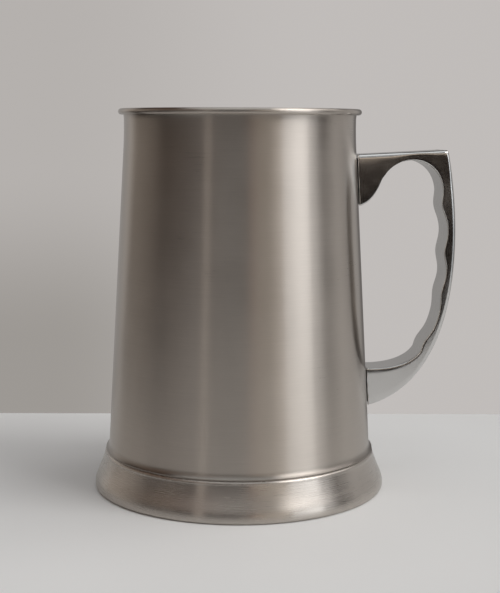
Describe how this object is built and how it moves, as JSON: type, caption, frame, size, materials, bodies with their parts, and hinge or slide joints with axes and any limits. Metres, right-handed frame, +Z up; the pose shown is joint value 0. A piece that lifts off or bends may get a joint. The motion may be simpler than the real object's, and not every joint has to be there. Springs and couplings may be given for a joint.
{
  "type": "tankard",
  "caption": "One-pint tankard with a tapered brushed steel body, a flared base ring and a chrome finger-grip handle.",
  "frame": {"origin": "centre of the foot, on the body's axis, in the plane it stands on", "axes": "+Z up along the body's axis towards the open rim, +X from the axis out through the handle, +Y across the handle's width"},
  "size_m": [0.1226, 0.0984, 0.127],
  "materials": {
    "body_steel": "fine brush grain running round the body, satin",
    "base_steel": "fine brush grain running round the ring, brighter on the lip",
    "floor_steel": "satin, pressed sheet",
    "handle_chrome": "bright chrome plate on a smooth casting",
    "fixing_steel": "plain turned steel",
    "gasket_rubber": "matt black"
  },
  "bodies": {
    "root": {"body": "body_steel", "base_ring": "base_steel", "bottom_plate": "floor_steel", "handle": "handle_chrome", "upper_handle_gasket": "gasket_rubber", "lower_handle_gasket": "gasket_rubber", "upper_handle_screw": "fixing_steel", "lower_handle_screw": "fixing_steel", "upper_screw_washer": "fixing_steel", "lower_screw_washer": "fixing_steel", "upper_seal_washer": "gasket_rubber", "lower_seal_washer": "gasket_rubber"}
  },
  "joints": []
}
